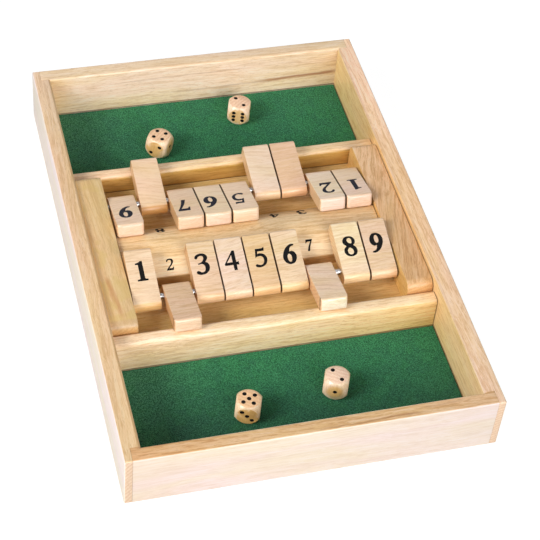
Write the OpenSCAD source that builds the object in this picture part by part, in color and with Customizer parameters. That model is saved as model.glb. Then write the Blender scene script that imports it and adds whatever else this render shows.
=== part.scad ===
// Two-player shut the box game: an open wooden box with a felt tray for each player. Between the
// trays a bridge carries two rows of nine number tiles, which hinge on steel rods. Millimetres,
// +Z up, +Y towards the far player, origin at the middle of the underside.

/* [Box] */
// Width of the box, left to right
box_w = 240; // [225:1:300]
// Length of the box, near player to far player
box_l = 355; // [340:1:440]
// Height of the walls
box_h = 41; // [38:0.5:60]
// Thickness of the left and right walls
side_t = 11.7; // [10:0.1:14]
// Thickness of the near and far walls
end_t = 10.2; // [9:0.1:14]
// Wood that is left of a side wall outside its corner rebate
corner_lip = 5; // [3:0.5:6.5]
// Rounding of the outer edges
outer_edge_r = 1.2; // [0.4:0.1:2]
// Rounding of the inner top edges
inner_edge_r = 2.2; // [0.5:0.1:3]

/* [Base and felt] */
// Thickness of the base panel
base_t = 4.4; // [3:0.1:5]
// Height of the base panel's underside above the table
base_recess = 1; // [0.5:0.1:1.5]
// Width of the step under the walls that holds the base panel
base_seat = 4.5; // [3:0.5:5]
// Thickness of the felt
felt_t = 1; // [0.6:0.1:2]

/* [Bridge] */
// Distance between the faces of the two rails that look at the tiles
rail_span = 140.4; // [136:0.2:146]
// Thickness of a rail
rail_t = 10.2; // [8:0.1:14]
// Height of a rail's top above the table
rail_top = 30.3; // [28:0.1:30.6]
// Rounding of a rail's top edges
rail_edge_r = 3; // [1:0.1:4]
// Width of an end block
block_w = 17.9; // [14:0.1:24]
// Height of an end block's top above the table
block_top = 36.6; // [34:0.1:38]
// Rounding of an end block's top at its near and far end
block_end_r = 6.5; // [1:0.5:10]
// Gap between an end block and each rail
block_gap = 0.6; // [0:0.1:1.5]
// Gap between the bridge and each side wall, and between the number beam and each end block
fit_gap = 0.3; // [0:0.1:1]
// Height of the deck's top above the table
deck_top = 16.4; // [12:0.1:17.5]
// Width of the number beam's flat top
beam_top_w = 18.6; // [17:0.1:20]
// Width of the number beam at its foot
beam_foot_w = 45.4; // [36:0.2:52]
// Height of the number beam's top above the table
beam_top = 33.6; // [32.5:0.1:35]
// Height at which the number beam's slopes begin
beam_shoulder = 25.1; // [21:0.1:29]

/* [Rods and tiles] */
// Diameter of the hinge rods
rod_d = 4; // [3:0.1:5]
// Distance of each rod from the middle line
rod_y = 42.7; // [42:0.1:44]
// Height of the rods above the table
rod_z = 29.5; // [28.5:0.1:31]
// Depth of each rod seat in the end blocks
rod_seat = 9; // [5:0.5:12]
// Wood of a tile's free end that reaches past the edge it leans on
tile_over = 1; // [0.5:0.1:2]
// Thickness of a tile
tile_t = 9.8; // [8:0.1:10.5]
// Distance of a tile's rod bore from its round end
tile_tail = 9; // [7:0.1:10]
// Rounding of the edges at a tile's free end
tile_edge_r = 1.8; // [0.3:0.1:1.9]
// Room left over along a rod when nine tiles are on it
tile_play = 17; // [8:0.1:22]

/* [Dice] */
// Width of a die
die_w = 16; // [12:0.5:18]
// Diameter of the ball that rounds a die's corners, in die widths
die_ball = 1.35; // [1.28:0.01:1.5]
// Diameter of a pip, in die widths
pip_share = 0.175; // [0.08:0.005:0.185]
// Depth of a pip, in die widths
pip_sink = 0.055; // [0.02:0.005:0.06]

/* [Hidden] */
$fn = 64;

// Fits
// Gap between the base panel's edge and the step that it lies in
base_clear = 0.2;
// Gap between the felt's edge and the wood round it
felt_clear = 0.3;
// Gap round a rod in its seats
seat_clear = 0.02;
// Gap round a rod in a tile's bore, on the radius
bore_clear = 0.08;
// Gap between a resting tile and the wood that stops it
rest_clear = 0.3;
// Smallest gap between neighbours on a rod
tile_gap = 0.75;
// Cutting tools run past the surface by this much
over = 1;

// Box
inner_w = box_w - 2 * side_t;
inner_l = box_l - 2 * end_t;
base_top = base_recess + base_t;
felt_top = base_top + felt_t;

// Bridge and trays
bridge_l = rail_span + 2 * rail_t;
tray_l = (inner_l - bridge_l) / 2;
tray_y = (inner_l + bridge_l) / 4;
bridge_w = inner_w - 2 * fit_gap;
room = bridge_w - 2 * block_w;
block_x = (bridge_w - block_w) / 2;

// Tiles: a tile's own axes have the rod along X at the origin and its free end towards +Y
tile_w = (room - tile_play) / 9;
bore_d = rod_d + 2 * bore_clear;
// How the spare room is shared out over the ten gaps of a row, from that player's left
near_shares = [0, 24, 18, 1, 1, 2, 3, 48, 2, 3];
far_shares = [8, 1, 16, 2, 31, 1, 1, 13, 23, 8];
// Numbers of the tiles that lie flipped
near_flipped = [2, 7];
far_flipped = [3, 4, 8];
// Tilt of a tile that leans on the edge of the beam's top
beam_run = rod_y - beam_top_w / 2;
beam_rise = beam_top - rod_z;
beam_tilt = lean(beam_run, beam_rise, tile_t / 2 + rest_clear);
tile_reach = reach(beam_run, beam_rise, tile_t / 2 + rest_clear) + tile_over;
// Tilt of a flipped tile that leans on the rounded edge of its rail
rail_run = rail_span / 2 + rail_edge_r - rod_y;
rail_rise = rail_top - rail_edge_r - rod_z;
rail_tilt = lean(rail_run, rail_rise, tile_t / 2 + rail_edge_r + rest_clear);

// Dice: the middle of each in its tray, its turn about the vertical, and the turns that bring the
// numbers 1, 2 and 3 from +X, +Y and +Z to the sides where they lie
pip_pitch = 0.204 * die_w;
pip_r = pip_share * die_w / 2;
pip_depth = pip_sink * die_w;
die_near_left = [-31.9, -6.5];
die_near_right = [27.9, 1.6];
die_far_left = [-38, -8];
die_far_right = [27.2, 17.5];

// Tilt of a bar that turns about the origin and keeps a distance from a point at (run, rise)
function lean(run, rise, distance) = atan2(rise, run) + asin(distance / norm([run, rise]));

// How far along that bar its nearest place to the point is
function reach(run, rise, distance) = sqrt(run * run + rise * rise - distance * distance);

function sum(list, count) = count == 0 ? 0 : list[count - 1] + sum(list, count - 1);

// Middle of tile n along its rod, from the middle of the row
function tile_x(shares, n) =
    let (loose = tile_play - 10 * tile_gap)
    n * tile_gap + loose * sum(shares, n) / sum(shares, 10) + (n - 0.5) * tile_w - room / 2;

function is_flipped(list, n) = len(search(n, list)) > 0;

// What a rounding takes off a corner at the origin, with the wood towards -X and -Y
module corner_waste(r) {
    difference() {
        translate([-r, -r]) square(r + over);
        translate([-r, -r]) circle(r);
    }
}

// Extrudes an outline drawn in Y and Z along X, and keeps it centred
module along_x(length) {
    rotate([90, 0, 90]) linear_extrude(length, center = true) children();
}

// Extrudes an outline drawn in X and Z along Y, and keeps it centred
module along_y(length) {
    rotate([90, 0, 0]) linear_extrude(length, center = true) children();
}

module mirrored(axis) {
    children();
    mirror(axis) children();
}

// Cutters for the edges along the tray openings: those along the side walls, then the end walls
module inner_side_cutters(length) {
    mirrored([1, 0, 0])
        translate([-inner_w / 2, 0, box_h]) along_y(length) corner_waste(inner_edge_r);
}

module inner_end_cutters(length) {
    mirrored([0, 1, 0])
        translate([0, -inner_l / 2, box_h]) along_x(length) corner_waste(inner_edge_r);
}

module inner_rounding() {
    corner = 2 * inner_edge_r;
    inner_side_cutters(inner_l);
    inner_end_cutters(inner_w);
    intersection() {
        inner_side_cutters(inner_l + corner);
        inner_end_cutters(inner_w + corner);
    }
}

module outer_rounding() {
    mirrored([1, 0, 0])
        translate([box_w / 2, 0, box_h]) along_y(box_l + 2 * over) corner_waste(outer_edge_r);
    mirrored([0, 1, 0])
        translate([0, box_l / 2, box_h]) along_x(box_w + 2 * over) corner_waste(outer_edge_r);
    mirrored([1, 0, 0]) mirrored([0, 1, 0])
        translate([box_w / 2, box_l / 2, -over]) linear_extrude(box_h + 2 * over)
            corner_waste(outer_edge_r);
}

// The step round the underside in which the base panel lies
module base_bed() {
    width = inner_w + 2 * base_seat;
    length = inner_l + 2 * base_seat;
    translate([-width / 2, -length / 2, -over]) cube([width, length, base_top + over]);
}

// Left wall; its ends are rebated for the near and far walls
module side_wall() {
    rebate = end_t + over;
    color("burlywood") difference() {
        translate([-box_w / 2, -box_l / 2, 0]) cube([side_t, box_l, box_h]);
        mirrored([0, 1, 0])
            translate([corner_lip - box_w / 2, inner_l / 2, -over])
                cube([side_t, rebate, box_h + 2 * over]);
        base_bed();
        inner_rounding();
        outer_rounding();
    }
}

// Near wall
module end_wall() {
    width = box_w - 2 * corner_lip;
    color("wheat") difference() {
        translate([-width / 2, -box_l / 2, 0]) cube([width, end_t, box_h]);
        base_bed();
        inner_rounding();
        outer_rounding();
    }
}

module base_panel() {
    width = inner_w + 2 * (base_seat - base_clear);
    length = inner_l + 2 * (base_seat - base_clear);
    color("tan") translate([-width / 2, -length / 2, base_recess]) cube([width, length, base_t]);
}

// Felt of the far tray
module felt() {
    width = inner_w - 2 * felt_clear;
    length = tray_l - 2 * felt_clear;
    color("darkgreen")
        translate([-width / 2, tray_y - length / 2, base_top]) cube([width, length, felt_t]);
}

// Far rail
module rail() {
    height = rail_top - base_top;
    color("burlywood") translate([0, (rail_span + rail_t) / 2, base_top]) along_x(bridge_w)
        difference() {
            translate([-rail_t / 2, 0]) square([rail_t, height]);
            mirrored([1, 0, 0]) translate([rail_t / 2, height]) corner_waste(rail_edge_r);
        }
}

module bridge_deck() {
    color("burlywood") translate([-bridge_w / 2, -rail_span / 2, base_top])
        cube([bridge_w, rail_span, deck_top - base_top]);
}

module number_beam() {
    foot = beam_foot_w / 2;
    top = beam_top_w / 2;
    color("burlywood") along_x(room - 2 * fit_gap)
        polygon([
            [-foot, deck_top], [foot, deck_top], [foot, beam_shoulder],
            [top, beam_top], [-top, beam_top], [-foot, beam_shoulder]
        ]);
}

// Left end block, with a blind seat for each rod
module end_block() {
    half = rail_span / 2 - block_gap;
    color("tan") translate([-block_x, 0, 0]) difference() {
        along_x(block_w) difference() {
            translate([-half, deck_top]) square([2 * half, block_top - deck_top]);
            mirrored([1, 0, 0]) translate([half, block_top]) corner_waste(block_end_r);
        }
        mirrored([0, 1, 0])
            translate([block_w / 2 - rod_seat, rod_y, rod_z]) rotate([0, 90, 0])
                cylinder(h = rod_seat + over, d = rod_d + 2 * seat_clear);
    }
}

// Far rod
module rod() {
    length = room + 2 * rod_seat - 2 * seat_clear;
    color("silver") translate([0, rod_y, rod_z]) rotate([0, 90, 0])
        cylinder(h = length, d = rod_d, center = true);
}

// A tile about its rod, lying flat towards +Y
module tile() {
    difference() {
        along_x(tile_w) difference() {
            union() {
                translate([tile_t / 2 - tile_tail, 0]) circle(d = tile_t);
                translate([tile_t / 2 - tile_tail, -tile_t / 2])
                    square([tile_reach + tile_tail - tile_t / 2, tile_t]);
            }
            mirrored([0, 1, 0])
                translate([tile_reach, tile_t / 2]) corner_waste(tile_edge_r);
        }
        rotate([0, 90, 0]) cylinder(h = tile_w + 2 * over, d = bore_d, center = true);
    }
}

// Tile n of the near row, as it lies in the photograph's state of play
module row_tile(n, shares, flipped) {
    tilt = is_flipped(flipped, n) ? 180 - rail_tilt : beam_tilt;
    color("wheat") translate([tile_x(shares, n), -rod_y, rod_z]) rotate([tilt, 0, 0]) tile();
}

module near_tile(n) {
    row_tile(n, near_shares, near_flipped);
}

module far_tile(n) {
    rotate([0, 0, 180]) row_tile(n, far_shares, far_flipped);
}

// Pips at the given places of the face that looks along +Z
module pips(places) {
    ball = (pip_r * pip_r + pip_depth * pip_depth) / (2 * pip_depth);
    for (place = places)
        translate([place.x * pip_pitch, place.y * pip_pitch, die_w / 2 + ball - pip_depth])
            sphere(ball);
}

// A die at the origin, with 1 towards +X, 2 towards +Y and 3 towards +Z
module die() {
    corners = [[1, 1], [1, -1], [-1, 1], [-1, -1]];
    difference() {
        intersection() {
            cube(die_w, center = true);
            sphere(d = die_w * die_ball);
        }
        rotate([0, 90, 0]) pips([[0, 0]]);
        rotate([-90, 0, 0]) pips([[1, 1], [-1, -1]]);
        pips([[1, -1], [0, 0], [-1, 1]]);
        rotate([180, 0, 0]) pips(corners);
        rotate([90, 0, 0]) pips(concat(corners, [[0, 0]]));
        rotate([0, -90, 0]) pips(concat(corners, [[1, 0], [-1, 0]]));
    }
}

// A die on the felt of the near (-1) or far (1) tray
module thrown_die(tray, place, yaw, turn) {
    color("wheat") translate([place.x, tray * tray_y + place.y, felt_top + die_w / 2])
        rotate([0, 0, yaw]) rotate(turn) die();
}

side_wall();  // left_wall
mirror([1, 0, 0]) side_wall();  // right_wall
end_wall();  // near_wall
mirror([0, 1, 0]) end_wall();  // far_wall
base_panel();
mirror([0, 1, 0]) felt();  // near_felt
felt();  // far_felt
mirror([0, 1, 0]) rail();  // near_rail
rail();  // far_rail
bridge_deck();
number_beam();
end_block();  // left_block
mirror([1, 0, 0]) end_block();  // right_block
mirror([0, 1, 0]) rod();  // near_rod
rod();  // far_rod
for (n = [1:9]) near_tile(n);
for (n = [1:9]) far_tile(n);
thrown_die(-1, die_near_left, -19.7, [-90, 0, 180]);
thrown_die(-1, die_near_right, -21.5, [90, 0, -90]);
thrown_die(1, die_far_left, -34.8, [180, 0, 0]);
thrown_die(1, die_far_right, -19.5, [90, 0, 90]);
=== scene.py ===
import math
import random

import bmesh
import bpy
from mathutils import Matrix, Vector, noise


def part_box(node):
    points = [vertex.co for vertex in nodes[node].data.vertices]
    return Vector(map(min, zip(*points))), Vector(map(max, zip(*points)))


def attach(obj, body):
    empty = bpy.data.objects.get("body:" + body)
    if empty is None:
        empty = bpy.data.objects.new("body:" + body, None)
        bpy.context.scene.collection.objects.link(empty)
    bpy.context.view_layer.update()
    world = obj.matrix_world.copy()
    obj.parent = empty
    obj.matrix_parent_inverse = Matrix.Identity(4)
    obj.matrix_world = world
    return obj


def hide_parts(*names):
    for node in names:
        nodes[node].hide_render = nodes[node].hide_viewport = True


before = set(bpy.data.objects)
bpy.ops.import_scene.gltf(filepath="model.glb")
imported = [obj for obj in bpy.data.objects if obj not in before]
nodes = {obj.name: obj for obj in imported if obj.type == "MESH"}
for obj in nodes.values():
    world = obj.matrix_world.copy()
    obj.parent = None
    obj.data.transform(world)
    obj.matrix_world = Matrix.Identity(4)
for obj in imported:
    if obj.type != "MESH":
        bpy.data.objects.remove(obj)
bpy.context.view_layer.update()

MM = 0.001


def reach(node, axis):
    """How far a CAD node reaches along an axis, in millimetres from the frame's origin."""
    return round(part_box(node)[1]["xyz".index(axis)] / MM, 3)


# The rods' distance from the middle and their height, in millimetres
rod_lo, rod_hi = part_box("near_rod")
ROD_Y = -(rod_lo.y + rod_hi.y) / 2 / MM
ROD_Z = (rod_lo.z + rod_hi.z) / 2 / MM
# Half lengths of the end walls, the rails and the number beam, how high the felt and the beam reach, and the
# width of the beam's foot
WALL_X = reach("near_wall", "x")
RAIL_X = reach("near_rail", "x")
BEAM_X = reach("number_beam", "x")
FELT_TOP = reach("near_felt", "z")
BEAM_TOP = reach("number_beam", "z")
BEAM_FOOT_W = 2 * reach("number_beam", "y")
# Sizes of the part that no box tells: the width of the beam's top, the height of its shoulder, a tile's
# thickness, and its tilts in degrees where it leans on the beam and on a rail
BEAM_TOP_W = 18.6
BEAM_SHOULDER = 25.1
TILE_T = 9.8
BEAM_TILT = 15.888
RAIL_TILT = 11.429
# The tiles that lie flipped on their rail in the photograph
FLIPPED = {"near": (2, 7), "far": (3, 4, 8)}


def srgb(r, g, b):
    """A colour given in 0 to 255 display values, as linear RGBA."""
    def line(v):
        v = v / 255
        return v / 12.92 if v <= 0.04045 else ((v + 0.055) / 1.055) ** 2.4
    return (line(r), line(g), line(b), 1.0)


def tinted(colour, r, g, b):
    """A linear colour times a share for each channel."""
    return (colour[0] * r, colour[1] * g, colour[2] * b, 1.0)


class Nodes:
    """A node tree, with short calls for making and linking its nodes."""

    def __init__(self, tree):
        self.tree = tree

    def put(self, value, socket):
        if isinstance(value, bpy.types.NodeSocket):
            self.tree.links.new(value, socket)
        else:
            socket.default_value = value

    def node(self, kind, inputs=None, **settings):
        made = self.tree.nodes.new("ShaderNode" + kind)
        for key, value in settings.items():
            setattr(made, key, value)
        for key, value in (inputs or {}).items():
            self.put(value, made.inputs[key])
        return made

    def math(self, operation, a, b=0.0):
        return self.node("Math", {0: a, 1: b}, operation=operation).outputs[0]


class Paint(Nodes):
    """A material's nodes, with short calls for places on the object, noises, ramps and mixes."""

    def __init__(self, name):
        self.material = bpy.data.materials.new(name)
        self.material.use_nodes = True
        super().__init__(self.material.node_tree)
        self.shader = self.tree.nodes["Principled BSDF"]
        self.coords = self.node("TexCoord").outputs

    def mapped(self, vector, location=(0, 0, 0), rotation=(0, 0, 0), scale=(1, 1, 1)):
        inputs = {"Vector": vector, "Location": location, "Rotation": rotation, "Scale": scale}
        return self.node("Mapping", inputs).outputs[0]

    def millimetres(self):
        return self.mapped(self.coords["Object"], scale=(1000, 1000, 1000))

    def xyz(self):
        """The place on the object as three values, by axis."""
        return dict(zip("XYZ", self.node("SeparateXYZ", {0: self.coords["Object"]}).outputs))

    def noise(self, vector, scale, detail, roughness, distortion=0.0):
        inputs = {"Vector": vector, "Scale": scale, "Detail": detail, "Roughness": roughness,
                  "Distortion": distortion}
        return self.node("TexNoise", inputs).outputs[0]

    def drawn_out(self, vector, along, across, detail, roughness, distortion=0.0):
        """Noise with one scale along X and another across it."""
        stretched = self.mapped(vector, scale=(along, across, across))
        return self.noise(stretched, 1, detail, roughness, distortion)

    def ramp(self, value, lo, hi, out_lo=0.0, out_hi=1.0):
        inputs = {"Value": value, "From Min": lo, "From Max": hi, "To Min": out_lo, "To Max": out_hi}
        return self.node("MapRange", inputs, interpolation_type="SMOOTHSTEP").outputs[0]

    def mix(self, factor, a, b, blend="MIX"):
        made = self.node("Mix", data_type="RGBA", blend_type=blend)
        self.put(factor, made.inputs[0])
        self.put(a, made.inputs[6])
        self.put(b, made.inputs[7])
        return made.outputs[2]

    def facing(self, direction, lo=0.6, hi=0.9):
        """1 where the object's own surface faces along direction."""
        inputs = {0: self.coords["Normal"], 1: direction}
        dot = self.node("VectorMath", inputs, operation="DOT_PRODUCT").outputs["Value"]
        return self.ramp(dot, lo, hi)

    def finish(self, colour, roughness, height, bump, depth, **constants):
        """Links the shader's colour, roughness and bump. constants are values for its other sockets."""
        self.put(colour, self.shader.inputs["Base Color"])
        self.put(roughness, self.shader.inputs["Roughness"])
        made = self.node("Bump", {"Strength": bump, "Distance": depth, "Height": height})
        self.put(made.outputs[0], self.shader.inputs["Normal"])
        for key, value in constants.items():
            self.shader.inputs[key.replace("_", " ")].default_value = value
        return self.material


# How the space of a grain along each axis is turned to have it along X, and that axis as a direction
GRAIN_TURN = {"x": (0, 0, 0), "y": (0, 0, math.radians(-90)), "z": (0, math.radians(90), 0)}
GRAIN_AXIS = {"x": (1, 0, 0), "y": (0, 1, 0), "z": (0, 0, 1)}
# How far the grain wanders aside in long sways and in short ripples, and its greatest shift, in millimetres
SWAY = 11.0
RIPPLE = 1.5
SHIFT = 400
# Shares of a tone, red, green and blue, in the darker and lighter parts of the grain and of the end grain
DARK_BAND = (0.84, 0.76, 0.62)
DARK_STREAK = (0.74, 0.62, 0.46)
DARK_PORE = (0.50, 0.38, 0.26)
PALE_BAND = (1.05, 1.10, 1.20)
PALE_STREAK = (1.07, 1.16, 1.32)
BLOTCH = (0.90, 0.90, 0.62)
CUT = (0.86, 0.76, 0.62)
DARK_RING = (0.84, 0.70, 0.58)
DARK_DOT = (0.72, 0.56, 0.42)
# The tone of a seam, a dark line in a joint that is partly dirt and partly painted shade, and the share of its
# half width that is fully dark
SEAM = (84, 54, 30)
SEAM_CORE = 0.3


class Grain:
    """The noises of one piece's grain, in millimetres, with X along the grain.

    still is the place in it as it is, and mm the place after the grain's wander.
    """

    def __init__(self, p, along, slant, seed):
        turn = GRAIN_TURN[along]
        turn = (turn[0], turn[1], turn[2] + math.radians(slant))
        rng = random.Random(seed)
        shift = [rng.uniform(-SHIFT, SHIFT) for _ in range(3)]
        self.still = p.mapped(p.coords["Object"], shift, turn, (1000, 1000, 1000))
        sway = p.math("SUBTRACT", p.drawn_out(self.still, 0.011, 0.03, 2, 0.45), 0.5)
        ripple = p.math("SUBTRACT", p.drawn_out(self.still, 0.06, 0.12, 2, 0.5), 0.5)
        aside = p.math("ADD", p.math("MULTIPLY", sway, SWAY), p.math("MULTIPLY", ripple, RIPPLE))
        push = p.node("CombineXYZ", {1: aside, 2: aside}).outputs[0]
        self.mm = p.node("VectorMath", {0: self.still, 1: push}, operation="ADD").outputs[0]
        self.zone = p.drawn_out(self.mm, 0.007, 0.045, 2, 0.5, 0.3)
        self.band = p.drawn_out(self.mm, 0.010, 0.17, 3, 0.55)
        self.streak = p.drawn_out(self.mm, 0.036, 0.62, 4, 0.65)
        self.thin = p.drawn_out(self.mm, 0.11, 1.7, 3, 0.65)
        self.pore = p.ramp(p.drawn_out(self.mm, 0.20, 2.6, 2, 0.6), 0.60, 0.70)


def long_grain(p, g, flat, share, amounts):
    """The grain over one flat tone. amounts are of zones, bands, streaks, thin streaks and pores.

    share weakens all of them but the zones.
    """
    zones, bands, streaks, fine, pores = amounts
    cool = tinted(flat, 1 + 0.04 * zones, 1 - 0.03 * zones, 1 + 0.04 * zones)
    warm = tinted(flat, 1 - 0.01 * zones, 1.0, 1 - 0.26 * zones)
    colour = p.mix(p.ramp(g.zone, 0.36, 0.64), cool, warm)
    for value, lo, hi, amount, tint in (
            (g.band, 0.50, 0.64, bands, DARK_BAND), (g.band, 0.48, 0.35, bands, PALE_BAND),
            (g.streak, 0.51, 0.62, streaks, DARK_STREAK), (g.streak, 0.48, 0.38, streaks, PALE_STREAK),
            (g.thin, 0.53, 0.66, fine, DARK_STREAK), (g.thin, 0.46, 0.34, fine, PALE_STREAK),
            (g.pore, 0.0, 1.0, pores, DARK_PORE)):
        here = p.math("MULTIPLY", p.ramp(value, lo, hi), amount * share)
        colour = p.mix(here, colour, tinted(flat, *tint))
    return colour


def end_grain(p, g, cut):
    """Rings cut across, with fine dots, in shades of the linear tone cut."""
    dots = p.ramp(p.noise(g.still, 1.3, 3, 0.7), 0.45, 0.65)
    heart = p.mapped(g.still, location=(0, 9, 31), scale=(0.02, 0.30, 0.30))
    inputs = {"Vector": heart, "Scale": 0.42, "Distortion": 2.0, "Detail": 2.0, "Detail Scale": 0.7}
    wave = p.node("TexWave", inputs, wave_type="RINGS", rings_direction="X", wave_profile="SIN")
    rings = p.math("MULTIPLY", p.ramp(wave.outputs["Fac"], 0.3, 1.0), 0.55)
    colour = p.mix(rings, cut, tinted(cut, *DARK_RING))
    return p.mix(p.math("MULTIPLY", dots, 0.45), colour, tinted(cut, *DARK_DOT))


def wood(name, tone, seed, grain="x", slant=0.0, zones=0.5, bands=0.45, streaks=0.6, fine=0.55, pores=0.45,
         gloss=0.40, pale=(), end_tone=None, end_from=0.75, marks=(), blotch=0.0, drift=(), seams=()):
    """Lacquered light hardwood, with grain along one axis, turned by slant degrees, and end grain across it.

    Faces by direction get other tones, each given by direction, tone, share of the grain, facing from and to;
    on most pieces these are painted light and painted shade, on some the wood's own tone.
    drift: tints that change along an axis, by direction or None, axis, start, stop, tint at each of them; on
    several pieces they are painted light and shade.
    seams: dark lines where a piece meets another, partly dirt and partly painted shade, by axis, place, half
    width, share, direction or None.
    Places and widths are in millimetres. marks are made by marking(). blotch is how strongly clouds of
    another tint show, and end_from how far a face has to look along the grain before it shows end grain.
    """
    p = Paint(name)
    g = Grain(p, grain, slant, seed)
    base = srgb(*tone)
    amounts = (zones, bands, streaks, fine, pores)
    colour = long_grain(p, g, base, 1, amounts)
    if blotch:
        cloud = p.drawn_out(g.mm, 0.05, 0.05, 3, 0.55, 0.8)
        colour = p.mix(p.math("MULTIPLY", p.ramp(cloud, 0.44, 0.62), blotch), colour, tinted(base, *BLOTCH))
    # Faces of another tone, most of them painted light and shade
    for direction, pale_tone, share, lo, hi in pale:
        other = long_grain(p, g, srgb(*pale_tone), share, amounts)
        colour = p.mix(p.facing(direction, lo, hi), colour, other)
    place = p.xyz()
    for direction, axis, start, stop, tint_start, tint_stop in drift:
        along = p.ramp(place[axis], start * MM, stop * MM)
        tint = p.mix(along, (*tint_start, 1), (*tint_stop, 1))
        colour = p.mix(p.facing(direction) if direction else 1.0, colour, tint, "MULTIPLY")
    for mark in marks:
        colour = mark(p, colour, g.mm)
    ways = [[way * v for v in GRAIN_AXIS[grain]] for way in (1, -1)]
    ends = p.math("MAXIMUM", *(p.facing(way, end_from, end_from + 0.2) for way in ways))
    cut = srgb(*end_tone) if end_tone else tinted(base, *CUT)
    colour = p.mix(ends, colour, end_grain(p, g, cut))
    for axis, at, half, share, direction in seams:
        off = p.math("ABSOLUTE", p.math("SUBTRACT", place[axis], at * MM))
        line = p.math("MULTIPLY", p.ramp(off, half * MM, half * MM * SEAM_CORE), share)
        if direction:
            line = p.math("MULTIPLY", line, p.facing(direction))
        colour = p.mix(line, colour, srgb(*SEAM))
    rough = p.ramp(g.streak, 0.35, 0.65, gloss - 0.06, gloss + 0.08)
    raised = p.math("ADD", p.math("MULTIPLY", g.streak, 0.5), p.math("MULTIPLY", g.thin, 0.4))
    height = p.math("SUBTRACT", raised, p.math("MULTIPLY", g.pore, 0.6))
    return p.finish(colour, rough, height, 0.3, 0.10 * MM, IOR=1.48, Coat_Weight=0.25, Coat_Roughness=0.22)


def marking(along, across, direction, tone, wobble, streaks):
    """Brown marks in one face, with edges that wobble.

    Each of streaks: start and end along, then across, half width, strength. Lengths are in millimetres.
    """
    def mark(p, colour, mm):
        place = p.xyz()
        u = p.math("MULTIPLY", place[along], 1000)
        v = p.math("MULTIPLY", place[across], 1000)
        ragged = p.math("SUBTRACT", p.drawn_out(mm, 0.05, 0.45, 4, 0.65), 0.5)
        v = p.math("ADD", v, p.math("MULTIPLY", ragged, wobble))
        for u0, u1, v0, v1, half, amount in streaks:
            rise = (v1 - v0) / (u1 - u0)
            line = p.math("ADD", p.math("MULTIPLY", u, rise), v0 - u0 * rise)
            gap = p.math("ABSOLUTE", p.math("SUBTRACT", v, line))
            fade = (u1 - u0) * 0.3
            ends = p.math("MULTIPLY", p.ramp(u, u0, u0 + fade), p.ramp(u, u1, u1 - fade * 0.5))
            share = p.math("MULTIPLY", p.math("MULTIPLY", p.ramp(gap, half, 0.0), ends), amount)
            colour = p.mix(p.math("MULTIPLY", share, p.facing(direction)), colour, srgb(*tone))
        return colour
    return mark


def ink(name, tone):
    """Printed ink, slightly worn by the grain under it."""
    p = Paint(name)
    grain = p.drawn_out(p.millimetres(), 0.15, 1.6, 3, 0.6)
    base = srgb(*tone)
    colour = p.mix(p.ramp(grain, 0.45, 0.75), base, tinted(base, 1.8, 1.7, 1.6))
    rough = p.ramp(grain, 0.3, 0.7, 0.55, 0.75)
    return p.finish(colour, rough, grain, 0.1, 0.05 * MM, IOR=1.45, Specular_IOR_Level=0.18)


# Tints of the felt: painted light on the left against the left wall's shadow, a less red tint on the right,
# and painted shade by the near wall
FELT_LEFT_PAINTED_LIGHT = (1.26, 1.06, 1.20, 1)
FELT_RIGHT_TINT = (0.78, 0.98, 0.94, 1)
FELT_WALL_PAINTED_SHADE = (0.74, 0.64, 0.78, 1)
# Where the left tint passes into the right one along X, and where the painted shade by the near wall comes in
# along Y and X
FELT_LIGHT_TURN = (-100 * MM, -30 * MM)
FELT_WALL_SHADE_Y = (-92 * MM, -156 * MM)
FELT_WALL_SHADE_X = (-104 * MM, -72 * MM)


def felt(name):
    """Short flocked nap: fine fibres and mottles, with painted light on the left and painted shade by the near
    wall.
    """
    p = Paint(name)
    mm = p.millimetres()
    broad = p.noise(mm, 0.03, 2, 0.5)
    mottle = p.noise(mm, 0.11, 4, 0.65, 0.3)
    speck = p.noise(mm, 0.95, 3, 0.7)
    fibre = p.noise(mm, 2.1, 3, 0.7)
    green, teal, light, dark = srgb(36, 113, 64), srgb(32, 95, 67), srgb(80, 154, 108), srgb(5, 58, 35)
    colour = p.mix(p.ramp(mottle, 0.40, 0.60), green, teal)
    for value, lo, hi, amount, tone in (
            (broad, 0.4, 0.6, 0.40, teal), (mottle, 0.45, 0.34, 0.25, light),
            (speck, 0.51, 0.60, 0.65, light), (speck, 0.48, 0.40, 0.70, dark),
            (fibre, 0.50, 0.60, 0.75, light), (fibre, 0.48, 0.40, 0.80, dark)):
        colour = p.mix(p.math("MULTIPLY", p.ramp(value, lo, hi), amount), colour, tone)
    place = p.xyz()
    # Painted light: lighter on the left, against the left wall's shadow, and less red on the right
    lie = p.mix(p.ramp(place["X"], *FELT_LIGHT_TURN), FELT_LEFT_PAINTED_LIGHT, FELT_RIGHT_TINT)
    colour = p.mix(1.0, colour, lie, "MULTIPLY")
    # Painted shade by the near wall
    wall_shade = p.math("MULTIPLY", p.ramp(place["Y"], *FELT_WALL_SHADE_Y), p.ramp(place["X"], *FELT_WALL_SHADE_X))
    colour = p.mix(wall_shade, colour, p.mix(1.0, colour, FELT_WALL_PAINTED_SHADE, "MULTIPLY"))
    height = p.math("ADD", p.math("MULTIPLY", fibre, 0.6), p.math("MULTIPLY", speck, 0.5))
    return p.finish(colour, 0.93, height, 0.6, 0.35 * MM, IOR=1.5, Sheen_Weight=0.05, Sheen_Roughness=0.5,
                    Sheen_Tint=(0.7, 0.9, 0.85, 1), Specular_IOR_Level=0.36)


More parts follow.
